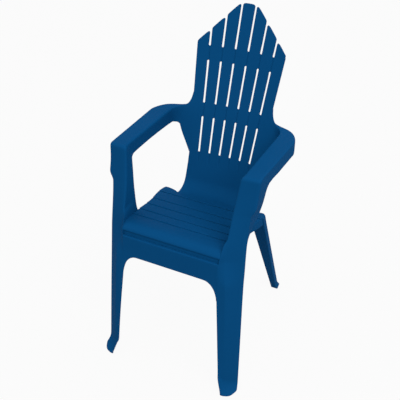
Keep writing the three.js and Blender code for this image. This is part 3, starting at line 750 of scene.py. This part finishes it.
def panel_rows(groove, slot):
    """Rows of the lower panel, from the seat's end of the bend to just below the slots."""
    columns = back_columns(BACK_FOOT[1], slot)
    base_half = back_half(BACK_FOOT[1], slot)
    panel_low = bend_at(0.0)[2].y
    rows = []
    for share in steps(BEND_ROWS):
        half = mix(WAIST[0], WAIST[1], 1 - (1 - share) ** 2)
        rows.append([on_bend(x / base_half * half, share) for x, _ in columns])
    for z in PANEL_LEVELS:
        half = curve_at((*WAIST[1:], base_half), (z - panel_low) / (BACK_FOOT[1] - panel_low))
        half = min(half, base_half)
        rows.append([back_point(x / base_half * half, z, across, groove) for x, across in columns])
    return rows


def slot_levels():
    """Heights of rows beside the slots, with 1 at a slot's lower end, -1 at its upper end, or 0."""
    outside, inside = SLOT_END_ROWS
    levels = [(WING_JOINT[0], 0)]
    for (low, high), above in ((SLOTS_LOW, SLOTS_MIDDLE[0]), (SLOTS_MIDDLE, SLOTS_TOP)):
        levels += [(low, 1), (low + inside, 0)]
        if low < WING_JOINT[1] < high:
            levels.append((WING_JOINT[1], 0))
        levels += [(mix(low + inside, high - inside, share), 0) for share in steps(4)[1:-1]]
        levels += [(high - inside, 0), (high, -1), (high + outside, 0), (mix(high, above, 0.5), 0),
                   (above - outside, 0)]
    return levels + [(SLOTS_TOP, 1)]


def slot_rows(groove, slot):
    """Rows beside the slots, which follow the slots' rounded ends."""
    rows = []
    for z, turn in slot_levels():
        level = z + slot / 2 * turn
        row = []
        for x, across in back_columns(level, slot):
            height = level
            if turn and across is not None:
                height = z + turn * slot / 2 * (1 - math.sqrt(1 - across ** 2))
            row.append(back_point(x, height, across, groove))
        rows.append(row)
    return rows


def tip_drop(column):
    """How far a column's end lies below the gable, which rounds a slat's two corners."""
    slat, place = divmod(column, 2 * len(SLAT_COLUMNS) + 1 + len(SLOT_COLUMNS))
    if place > 2 * len(SLAT_COLUMNS):
        return 0.0
    side = -1 if place < len(SLAT_COLUMNS) else 1
    outwards = side * (slat - (SLATS - 1) / 2)
    drops = TIP_LEVEL if outwards == 0 else TIP_LOW if outwards > 0 else TIP_HIGH
    return (*drops, 0.0, *reversed(drops))[place]


def slat_top_rows(slot, rim):
    """Rows of the slats above the topmost slots' lower ends, each column rising to the gable."""
    foot = SLOTS_TOP + slot / 2
    tops = []
    for column in range(len(back_columns(foot, slot))):
        top = BACK_TOP
        for _ in range(TIP_ROUNDS):
            x = back_columns(top, slot)[column][0]
            top = min(BACK_TOP, BACK_TOP + GABLE_RISE - GABLE_SLOPE * abs(x))
        tops.append(top - tip_drop(column))
    rows = []
    for share in (0.25, 0.5, 0.75, None, 1.0):
        row = []
        for column, top in enumerate(tops):
            height = top - rim if share is None else mix(foot, top, share)
            row.append(back_point(back_columns(height, slot)[column][0], height))
        rows.append(row)
    return rows


def back_sheet(slot, groove, rim):
    """Slats, bands and lower panel, from the seat's bend to the gable."""
    sheet = Sheet()
    panel = panel_rows(groove, slot)
    rows = panel + slot_rows(groove, slot) + slat_top_rows(slot, rim)
    turns = [turn for _, turn in slot_levels()]
    starts = [len(panel) + i for i, turn in enumerate(turns) if turn == 1]
    ends = [len(panel) + i for i, turn in enumerate(turns) if turn == -1] + [len(rows)]
    in_slot = [across is not None for _, across in back_columns(BACK_FOOT[1], slot)]

    def keep(r, c):
        between = in_slot[c] or in_slot[c + 1]
        return not (between and any(start <= r < end for start, end in zip(starts, ends)))

    sheet.patch(rows, keep)
    sheet.drop_loose()
    low, high = WING_JOINT
    sheet.joint([p for row in rows for p in (row[0], row[-1]) if low - 0.1 <= p.z <= high + 0.1])
    sheet.joint(rows[0])
    return sheet


# Seat and side rails

def seat_profile(groove):
    """(Y, Z) down the middle, from under the nose to the last groove."""
    points = []
    nose = [Vector(point) for point in reversed(NOSE)]
    for i in range(len(nose) - 1):
        around = [nose[max(0, min(len(nose) - 1, j))] for j in (i - 1, i, i + 1, i + 2)]
        points += [tuple(spline_at(*around, share)) for share in (0.0, 0.5)]
    points.append(NOSE[0])
    points.append((NOSE_END[0], seat_z(NOSE_END[0]) + NOSE_END[1]))
    for i, line in enumerate(SEAT_GROOVES):
        if i:
            y = mix(SEAT_GROOVES[i - 1], line, 0.5)
            points.append((y, seat_z(y)))
        points += [(line + offset, seat_z(line + offset) - depth * groove) for offset, depth in SEAT_GROOVE_FORM]
    return points


def seat_edge_x(y, z):
    """Half width of the seat's sheet at a point of its section."""
    if y >= RAIL_SPAN[0]:
        return mix(*SEAT_HALF, smooth(y, *SEAT_FLARE)) - EDGE_ROLL
    # Up to the posts a row ends inside the wall that runs from the leg's strip to the rear
    level = max(z, APRON_TOP)
    edge_x, edge_y = row_at(STRIP_EDGE, level)
    share = max(0.0, (y - edge_y) / (row_at(WALL_EDGE, level)[0] - edge_y))
    return mix(edge_x, post_line(CREASE, level).x, share) + SEAT_OVERLAP


def seat_rear_y(x, half):
    """Where a column ends: in the bend across the middle, in rounded corners at the sides."""
    beside = abs(x) - WAIST[0]
    if beside <= 0:
        return bend_at(x)[1].x
    into = max(0.0, abs(x) - (half - SEAT_CORNER + EDGE_ROLL))
    end = mix(*SEAT_REAR, beside / (half - WAIST[0]))
    end -= SEAT_CORNER - math.sqrt(max(0.0, SEAT_CORNER ** 2 - into ** 2))
    return mix(bend_at(WAIST[0])[1].x, end, smooth(beside, 0.0, SEAT_REAR_FADE))


def seat_sheet(groove):
    """Rolled front edge and seat, out to where the side rails start, and the sheet's rows."""
    middle = [WAIST[0] * (2 * share - 1) for share in steps(SEAT_MIDDLE_PARTS)]

    def across(half):
        side = [mix(WAIST[0], half, share) for share in SEAT_SIDE_COLUMNS]
        return [-x for x in reversed(side)] + middle + side

    rows = [[Vector((x, y, z)) for x in across(seat_edge_x(y, z))] for y, z in seat_profile(groove)]
    half = seat_edge_x(SEAT_REAR[1], 0.0)
    start = SEAT_GROOVES[-1] + REAR_STRIP_START
    for share in REAR_STRIP_ROWS:
        places = [(x, mix(start, seat_rear_y(x, half), share)) for x in across(half)]
        rows.append([Vector((x, y, seat_z(y))) for x, y in places])
    sheet = Sheet(rows)
    beside = len(SEAT_SIDE_COLUMNS)
    sheet.joint(rows[-1][beside:-beside])
    sheet.joint(rows[0])
    sheet.joint([p for row in rows for p in (row[0], row[-1]) if RAIL_SPAN[0] <= p.y <= RAIL_SPAN[1]])
    return sheet, rows


def side_rail_sheet(seat_rows, rim):
    """Skirt that rolls down from the seat's right edge, between the post and the rear leg."""
    rows = []
    for p in [row[-1] for row in seat_rows if RAIL_SPAN[0] <= row[-1].y <= RAIL_SPAN[1]]:
        along = (p.y - RAIL_FRONT) / (RAIL_SPAN[1] - RAIL_FRONT)
        depth = mix(*RAIL_DEPTHS, along ** RAIL_POWER) + EDGE_ROLL
        top = Vector((p.x + EDGE_ROLL, p.y, p.z))
        low = Vector((p.x + EDGE_ROLL + RAIL_LEAN, p.y, seat_z(p.y) - depth))
        down = top - Vector((0, 0, EDGE_ROLL))
        bend = [arc_at(p, top, down, share) for share in steps(BEND_PARTS)]
        rows.append(bend + [bend[-1].lerp(low, share) for share in (0.35, 0.7, 1 - rim / depth, 1.0)])
    sheet = Sheet(rows)
    sheet.joint([row[0] for row in rows])
    return sheet


# Apron

def apron_sheet(rim):
    """Apron between the front legs, with its swept lower edge and the ledge under the seat."""
    xs = fillet_columns(APRON_HALF, APRON_FILLET[0], APRON_FILLET_PARTS)
    rows = []
    for share in (0.0, None, 0.3, 0.6, 0.85, 1.0):
        row = []
        for x in xs:
            low = APRON_LOW - fillet_drop(x, APRON_HALF, *APRON_FILLET)
            z = low + rim if share is None else mix(low, APRON_TOP - APRON_ROLL, share)
            row.append(Vector((x / APRON_HALF * apron_half(z), apron_face_y(z), z)))
        rows.append(row)
    ends = [p for row in rows for p in (row[0], row[-1])]
    for y, z in LEDGE:
        spread = mix(1.0, LEDGE_SPREAD, (y - APRON_FACE) / (LEDGE[-1][0] - APRON_FACE))
        rows.append([Vector((x * spread, y, z)) for x in xs])
    sheet = Sheet(rows)
    sheet.joint(ends)
    return sheet


# Rear legs and rail

def rear_leg_sheet(rim):
    """Rear leg: a channel with its front, outer and rear walls, a small toe and a lid."""
    top = seat_z(SEAT_REAR[1]) - UNDER_SEAT
    foot, toe, rearwards = REAR_FOOT
    rows = []
    for z in (*REAR_FOOT_LEVELS, *(mix(REAR_LEG_START, top, share) for share in steps(REAR_LEG_PARTS))):
        corners = [Vector((*(mix(a, b, z / top) for a, b in zip(low, high)), z))
                   for low, high in zip(REAR_LEG_LOW, REAR_LEG_TOP)]
        reach = toe * max(0.0, 1 - z / foot)
        corners[1] += Vector((reach, 0, 0))
        corners[2] += Vector((reach, reach * rearwards, 0))
        first = turned(*corners[:3], REAR_LEG_BEND)
        second = turned(*corners[1:], REAR_LEG_BEND)
        rim_share = rim / (first[0] - corners[0]).length
        row = [corners[0].lerp(first[0], share) for share in (0.0, rim_share, 0.4, 0.75)] + first
        row += [first[-1].lerp(second[0], share) for share in (0.35, 0.7)] + second
        row += [second[-1].lerp(corners[3], share) for share in (0.45, 0.88, 1.0)]
        rows.append(row)
    # Lid, from close below the walls' top over to a line between the channel's open edges
    line = [corners[0].lerp(corners[3], share) for share in steps(len(row) - 1)]
    below = [a.lerp(b, 0.8) for a, b in zip(rows[-2], row)]
    over = [a.lerp(b, 0.1) for a, b in zip(row, line)]
    for p in row + over + line:
        p.z = seat_z(p.y) - LID_DEPTH
    return Sheet(rows[:-1] + [below, row, over, line])


def rear_rail_sheet():
    """Rail between the rear legs, arched into them."""
    top = seat_z(SEAT_REAR[1]) - UNDER_SEAT
    low_line = top - REAR_RAIL_DEPTH

    def leg_inside(z):
        return [mix(a, b, z / top) for a, b in zip(REAR_LEG_LOW[3], REAR_LEG_TOP[3])]

    reach = leg_inside(low_line)[0]
    rows = []
    for share in (0.0, 0.05, 0.3, 0.6, 0.9, 1.0):
        row = []
        for x in fillet_columns(reach, REAR_RAIL_FILLET, REAR_RAIL_FILLET_PARTS):
            centre = bend_at(x)[0]
            radius = SEAT_BEND + REAR_RAIL_CLEARANCE
            dip = math.sqrt(max(0.0, radius ** 2 - (leg_inside(top)[1] - centre.x) ** 2))
            low = low_line - fillet_drop(x, reach, REAR_RAIL_FILLET, REAR_RAIL_FILLET)
            z = mix(low, min(centre.y - dip, top), share)
            side, y = leg_inside(z)
            row.append(Vector((x / reach * side, y, z)))
        rows.append(row)
    return Sheet(rows)


# Stage

def add_to_scene(scene, name, data, place=(0, 0, 0), direction=None):
    """Object in the scene, turned so that it looks in a direction."""
    piece = bpy.data.objects.new(name, data)
    piece.location = place
    if direction:
        piece.rotation_euler = direction.to_track_quat("-Z", "Y").to_euler()
    scene.collection.objects.link(piece)
    return piece


def camera_share(tree, operation, value):
    """Whether the camera looks, combined with a value."""
    path = tree.nodes.new("ShaderNodeLightPath")
    share = tree.nodes.new("ShaderNodeMath")
    share.operation = operation
    share.inputs[1].default_value = value
    tree.links.new(path.outputs["Is Camera Ray"], share.inputs[0])
    return share.outputs["Value"]


def floor_material(stage):
    """Plain pale paint, of which the camera sees a share as white."""
    paint = bpy.data.materials.new("floor_paint")
    paint.use_nodes = True
    nodes, links = paint.node_tree.nodes, paint.node_tree.links
    shader = nodes["Principled BSDF"]
    shader.inputs["Base Color"].default_value = (*stage.floor_colour, 1.0)
    shader.inputs["Roughness"].default_value = FLOOR_ROUGHNESS
    shader.inputs["Specular IOR Level"].default_value = 0.0
    white = nodes.new("ShaderNodeEmission")
    blend = nodes.new("ShaderNodeMixShader")
    links.new(camera_share(paint.node_tree, "MULTIPLY", stage.backdrop_white), blend.inputs["Fac"])
    links.new(shader.outputs["BSDF"], blend.inputs[1])
    links.new(white.outputs["Emission"], blend.inputs[2])
    links.new(blend.outputs["Shader"], nodes["Material Output"].inputs["Surface"])
    return paint


def light_world(world, stage):
    """Even light from all round; the camera sees it as plain white."""
    world.use_nodes = True
    background = world.node_tree.nodes["Background"]
    background.inputs["Color"].default_value = (1.0, 1.0, 1.0, 1.0)
    strength = camera_share(world.node_tree, "MAXIMUM", stage.fill_level)
    world.node_tree.links.new(strength, background.inputs["Strength"])


# Settings that a user would change

class GardenChairSettings(PropertyGroup):
    wall: FloatProperty(
        name="Wall", description="Wall thickness of the moulding", default=0.004, min=0.002, max=0.006,
        unit="LENGTH")
    slot: FloatProperty(
        name="Slot Width", description="Width of the slots in the back", default=0.0053, min=0.004,
        max=0.012, unit="LENGTH")
    groove: FloatProperty(
        name="Groove Depth", description="Depth of the back's grooves", default=0.0018, min=0.0, max=0.003,
        unit="LENGTH")
    seat_groove: FloatProperty(
        name="Seat Groove Depth", description="Depth of the seat's grooves", default=0.0032,
        min=0.0, max=0.0036, unit="LENGTH")
    rim: FloatProperty(
        name="Rim", description="Width of the rim along free edges", default=0.002, min=0.001,
        max=0.004, unit="LENGTH")
    plastic_colour: FloatVectorProperty(
        name="Plastic Colour", description="Colour of the plastic", default=(0.0022, 0.0580, 0.1720), min=0.0,
        max=1.0, subtype="COLOR")
    plastic_shade: FloatVectorProperty(
        name="Plastic Shade", description="Colour of the faint flow marks", default=(0.0018, 0.0510, 0.1530),
        min=0.0, max=1.0, subtype="COLOR")
    roughness: FloatProperty(
        name="Roughness", description="Roughness of the satin finish", default=0.6, min=0.2, max=0.8,
        subtype="FACTOR")
    specular: FloatProperty(
        name="Specular", description="Strength of the plastic's reflections", default=0.01, min=0.0, max=1.0,
        subtype="FACTOR")
    grain_size: FloatProperty(
        name="Grain Size", description="Size of the moulded grain", default=0.0012, min=0.0003, max=0.005,
        unit="LENGTH")
    grain_height: FloatProperty(
        name="Grain Height", description="Height of the moulded grain", default=0.00015, min=0.0, max=0.001,
        unit="LENGTH")


class GardenChairStageSettings(PropertyGroup):
    floor_size: FloatProperty(
        name="Floor Size", description="Side of the square floor", default=24.0, min=4.0, max=60.0,
        unit="LENGTH")
    floor_colour: FloatVectorProperty(
        name="Floor Colour", description="Colour of the floor", default=(0.4, 0.4, 0.4), min=0.0, max=1.0,
        subtype="COLOR")
    backdrop_white: FloatProperty(
        name="Backdrop White", description="Share of white that the camera sees on the floor",
        default=0.93, min=0.0, max=1.0, subtype="FACTOR")
    key_power: FloatProperty(
        name="Key Lamp", description="Power of the large lamp", default=415.0, min=0.0, max=2000.0,
        unit="POWER")
    fill_level: FloatProperty(
        name="Fill Level", description="Strength of the light from all round", default=0.97, min=0.0, max=2.0)
    camera_lens: FloatProperty(
        name="Camera Lens", description="Focal length in millimetres", default=60.784, min=20.0, max=200.0)


# Operators

class GARDENCHAIR_OT_side_frames(Operator):
    """Foot, leg, post, arm and wing of each side."""
    bl_idname = "garden_chair.side_frames"
    bl_label = "Side Frames"

    def execute(self, context):
        settings = context.scene.garden_chair
        sheet = side_frame_sheet(settings.slot / MM, settings.wall / MM, settings.rim / MM)
        nodes = ("front_foot", "front_leg", "front_post", "armrest", "back_wing")
        add_pair("side_frame", sheet, settings, (0, -1, 0), nodes)
        return {"FINISHED"}


class GARDENCHAIR_OT_back(Operator):
    """Slats, bands and lower panel of the back."""
    bl_idname = "garden_chair.back"
    bl_label = "Back"

    def execute(self, context):
        settings = context.scene.garden_chair
        sheet = back_sheet(settings.slot / MM, settings.groove / MM, settings.rim / MM)
        nodes = [f"back_slat_{i + 1}" for i in range(SLATS)]
        nodes += ["back_band_upper", "back_band_middle", "lower_back_panel"]
        add_moulding("back", sheet, settings, (0, -1, 2), nodes)
        return {"FINISHED"}


class GARDENCHAIR_OT_seat(Operator):
    """Seat with its rolled front edge, and the side rails below it."""
    bl_idname = "garden_chair.seat"
    bl_label = "Seat and Side Rails"

    def execute(self, context):
        settings = context.scene.garden_chair
        sheet, rows = seat_sheet(settings.seat_groove / MM)
        nodes = ["seat_nose"] + [f"seat_slat_{i + 1}" for i in range(len(SEAT_GROOVES))]
        add_moulding("seat", sheet, settings, (0, -1, 0), nodes)
        rail = side_rail_sheet(rows, settings.rim / MM)
        add_pair("side_rail_skirt", rail, settings, (1, 0, 0), ["side_rail"])
        return {"FINISHED"}


class GARDENCHAIR_OT_apron(Operator):
    """Apron between the front legs."""
    bl_idname = "garden_chair.apron"
    bl_label = "Apron"

    def execute(self, context):
        settings = context.scene.garden_chair
        add_moulding("apron", apron_sheet(settings.rim / MM), settings, (0, -1, 0), ["front_apron"])
        return {"FINISHED"}


class GARDENCHAIR_OT_rear_legs(Operator):
    """Rear legs and the rail between them."""
    bl_idname = "garden_chair.rear_legs"
    bl_label = "Rear Legs"

    def execute(self, context):
        settings = context.scene.garden_chair
        leg = rear_leg_sheet(settings.rim / MM)
        add_pair("rear_leg_shell", leg, settings, (0, -1, 0), ("rear_leg", "rear_foot"))
        add_moulding("rear_rail_shell", rear_rail_sheet(), settings, (0, 1, 0), ["rear_rail"])
        return {"FINISHED"}


class GARDENCHAIR_OT_stage(Operator):
    """Pale floor, a soft lamp, even light from all round and the camera."""
    bl_idname = "garden_chair.stage"
    bl_label = "Stage"

    def execute(self, context):
        scene = context.scene
        stage = scene.garden_chair_stage
        half = stage.floor_size / 2
        mesh = bpy.data.meshes.new("floor")
        mesh.from_pydata([(-half, -half, 0), (half, -half, 0), (half, half, 0), (-half, half, 0)], [], [(0, 1, 2, 3)])
        mesh.materials.append(floor_material(stage))
        floor = add_to_scene(scene, "floor", mesh)

        lamp = bpy.data.lights.new("key_lamp", "AREA")
        lamp.shape = "DISK"
        lamp.size = KEY_SIZE
        lamp.energy = stage.key_power
        add_to_scene(scene, "key_lamp", lamp, KEY_PLACE, Vector(KEY_TARGET) - Vector(KEY_PLACE))

        scene.world = scene.world or bpy.data.worlds.new("backdrop")
        light_world(scene.world, stage)

        camera = bpy.data.cameras.new("camera")
        camera.lens = stage.camera_lens
        camera.sensor_width = CAMERA_SENSOR
        scene.camera = add_to_scene(scene, "camera", camera, CAMERA_PLACE, Vector(CAMERA_DIRECTION))
        scene.view_settings.view_transform = "Standard"
        return {"FINISHED"}


class GARDENCHAIR_PT_panel(Panel):
    """Lists the chair's settings and pieces."""
    bl_idname = "GARDENCHAIR_PT_panel"
    bl_label = "Garden Chair"
    bl_space_type = "VIEW_3D"
    bl_region_type = "UI"
    bl_category = "Garden Chair"

    def draw(self, context):
        layout = self.layout
        for group in (context.scene.garden_chair, context.scene.garden_chair_stage):
            box = layout.box()
            for name in group.__annotations__:
                box.prop(group, name)
        for operator in OPERATORS:
            layout.operator(operator.bl_idname)


OPERATORS = (
    GARDENCHAIR_OT_stage,
    GARDENCHAIR_OT_side_frames,
    GARDENCHAIR_OT_back,
    GARDENCHAIR_OT_seat,
    GARDENCHAIR_OT_apron,
    GARDENCHAIR_OT_rear_legs,
)
CLASSES = (GardenChairSettings, GardenChairStageSettings) + OPERATORS + (GARDENCHAIR_PT_panel,)


def register():
    for cls in CLASSES:
        bpy.utils.register_class(cls)
    bpy.types.Scene.garden_chair = PointerProperty(type=GardenChairSettings)
    bpy.types.Scene.garden_chair_stage = PointerProperty(type=GardenChairStageSettings)


def unregister():
    del bpy.types.Scene.garden_chair_stage
    del bpy.types.Scene.garden_chair
    for cls in reversed(CLASSES):
        bpy.utils.unregister_class(cls)


def main():
    register()
    bpy.ops.garden_chair.stage()
    bpy.ops.garden_chair.side_frames()
    bpy.ops.garden_chair.back()
    bpy.ops.garden_chair.seat()
    bpy.ops.garden_chair.apron()
    bpy.ops.garden_chair.rear_legs()


if __name__ == "__main__":
    main()
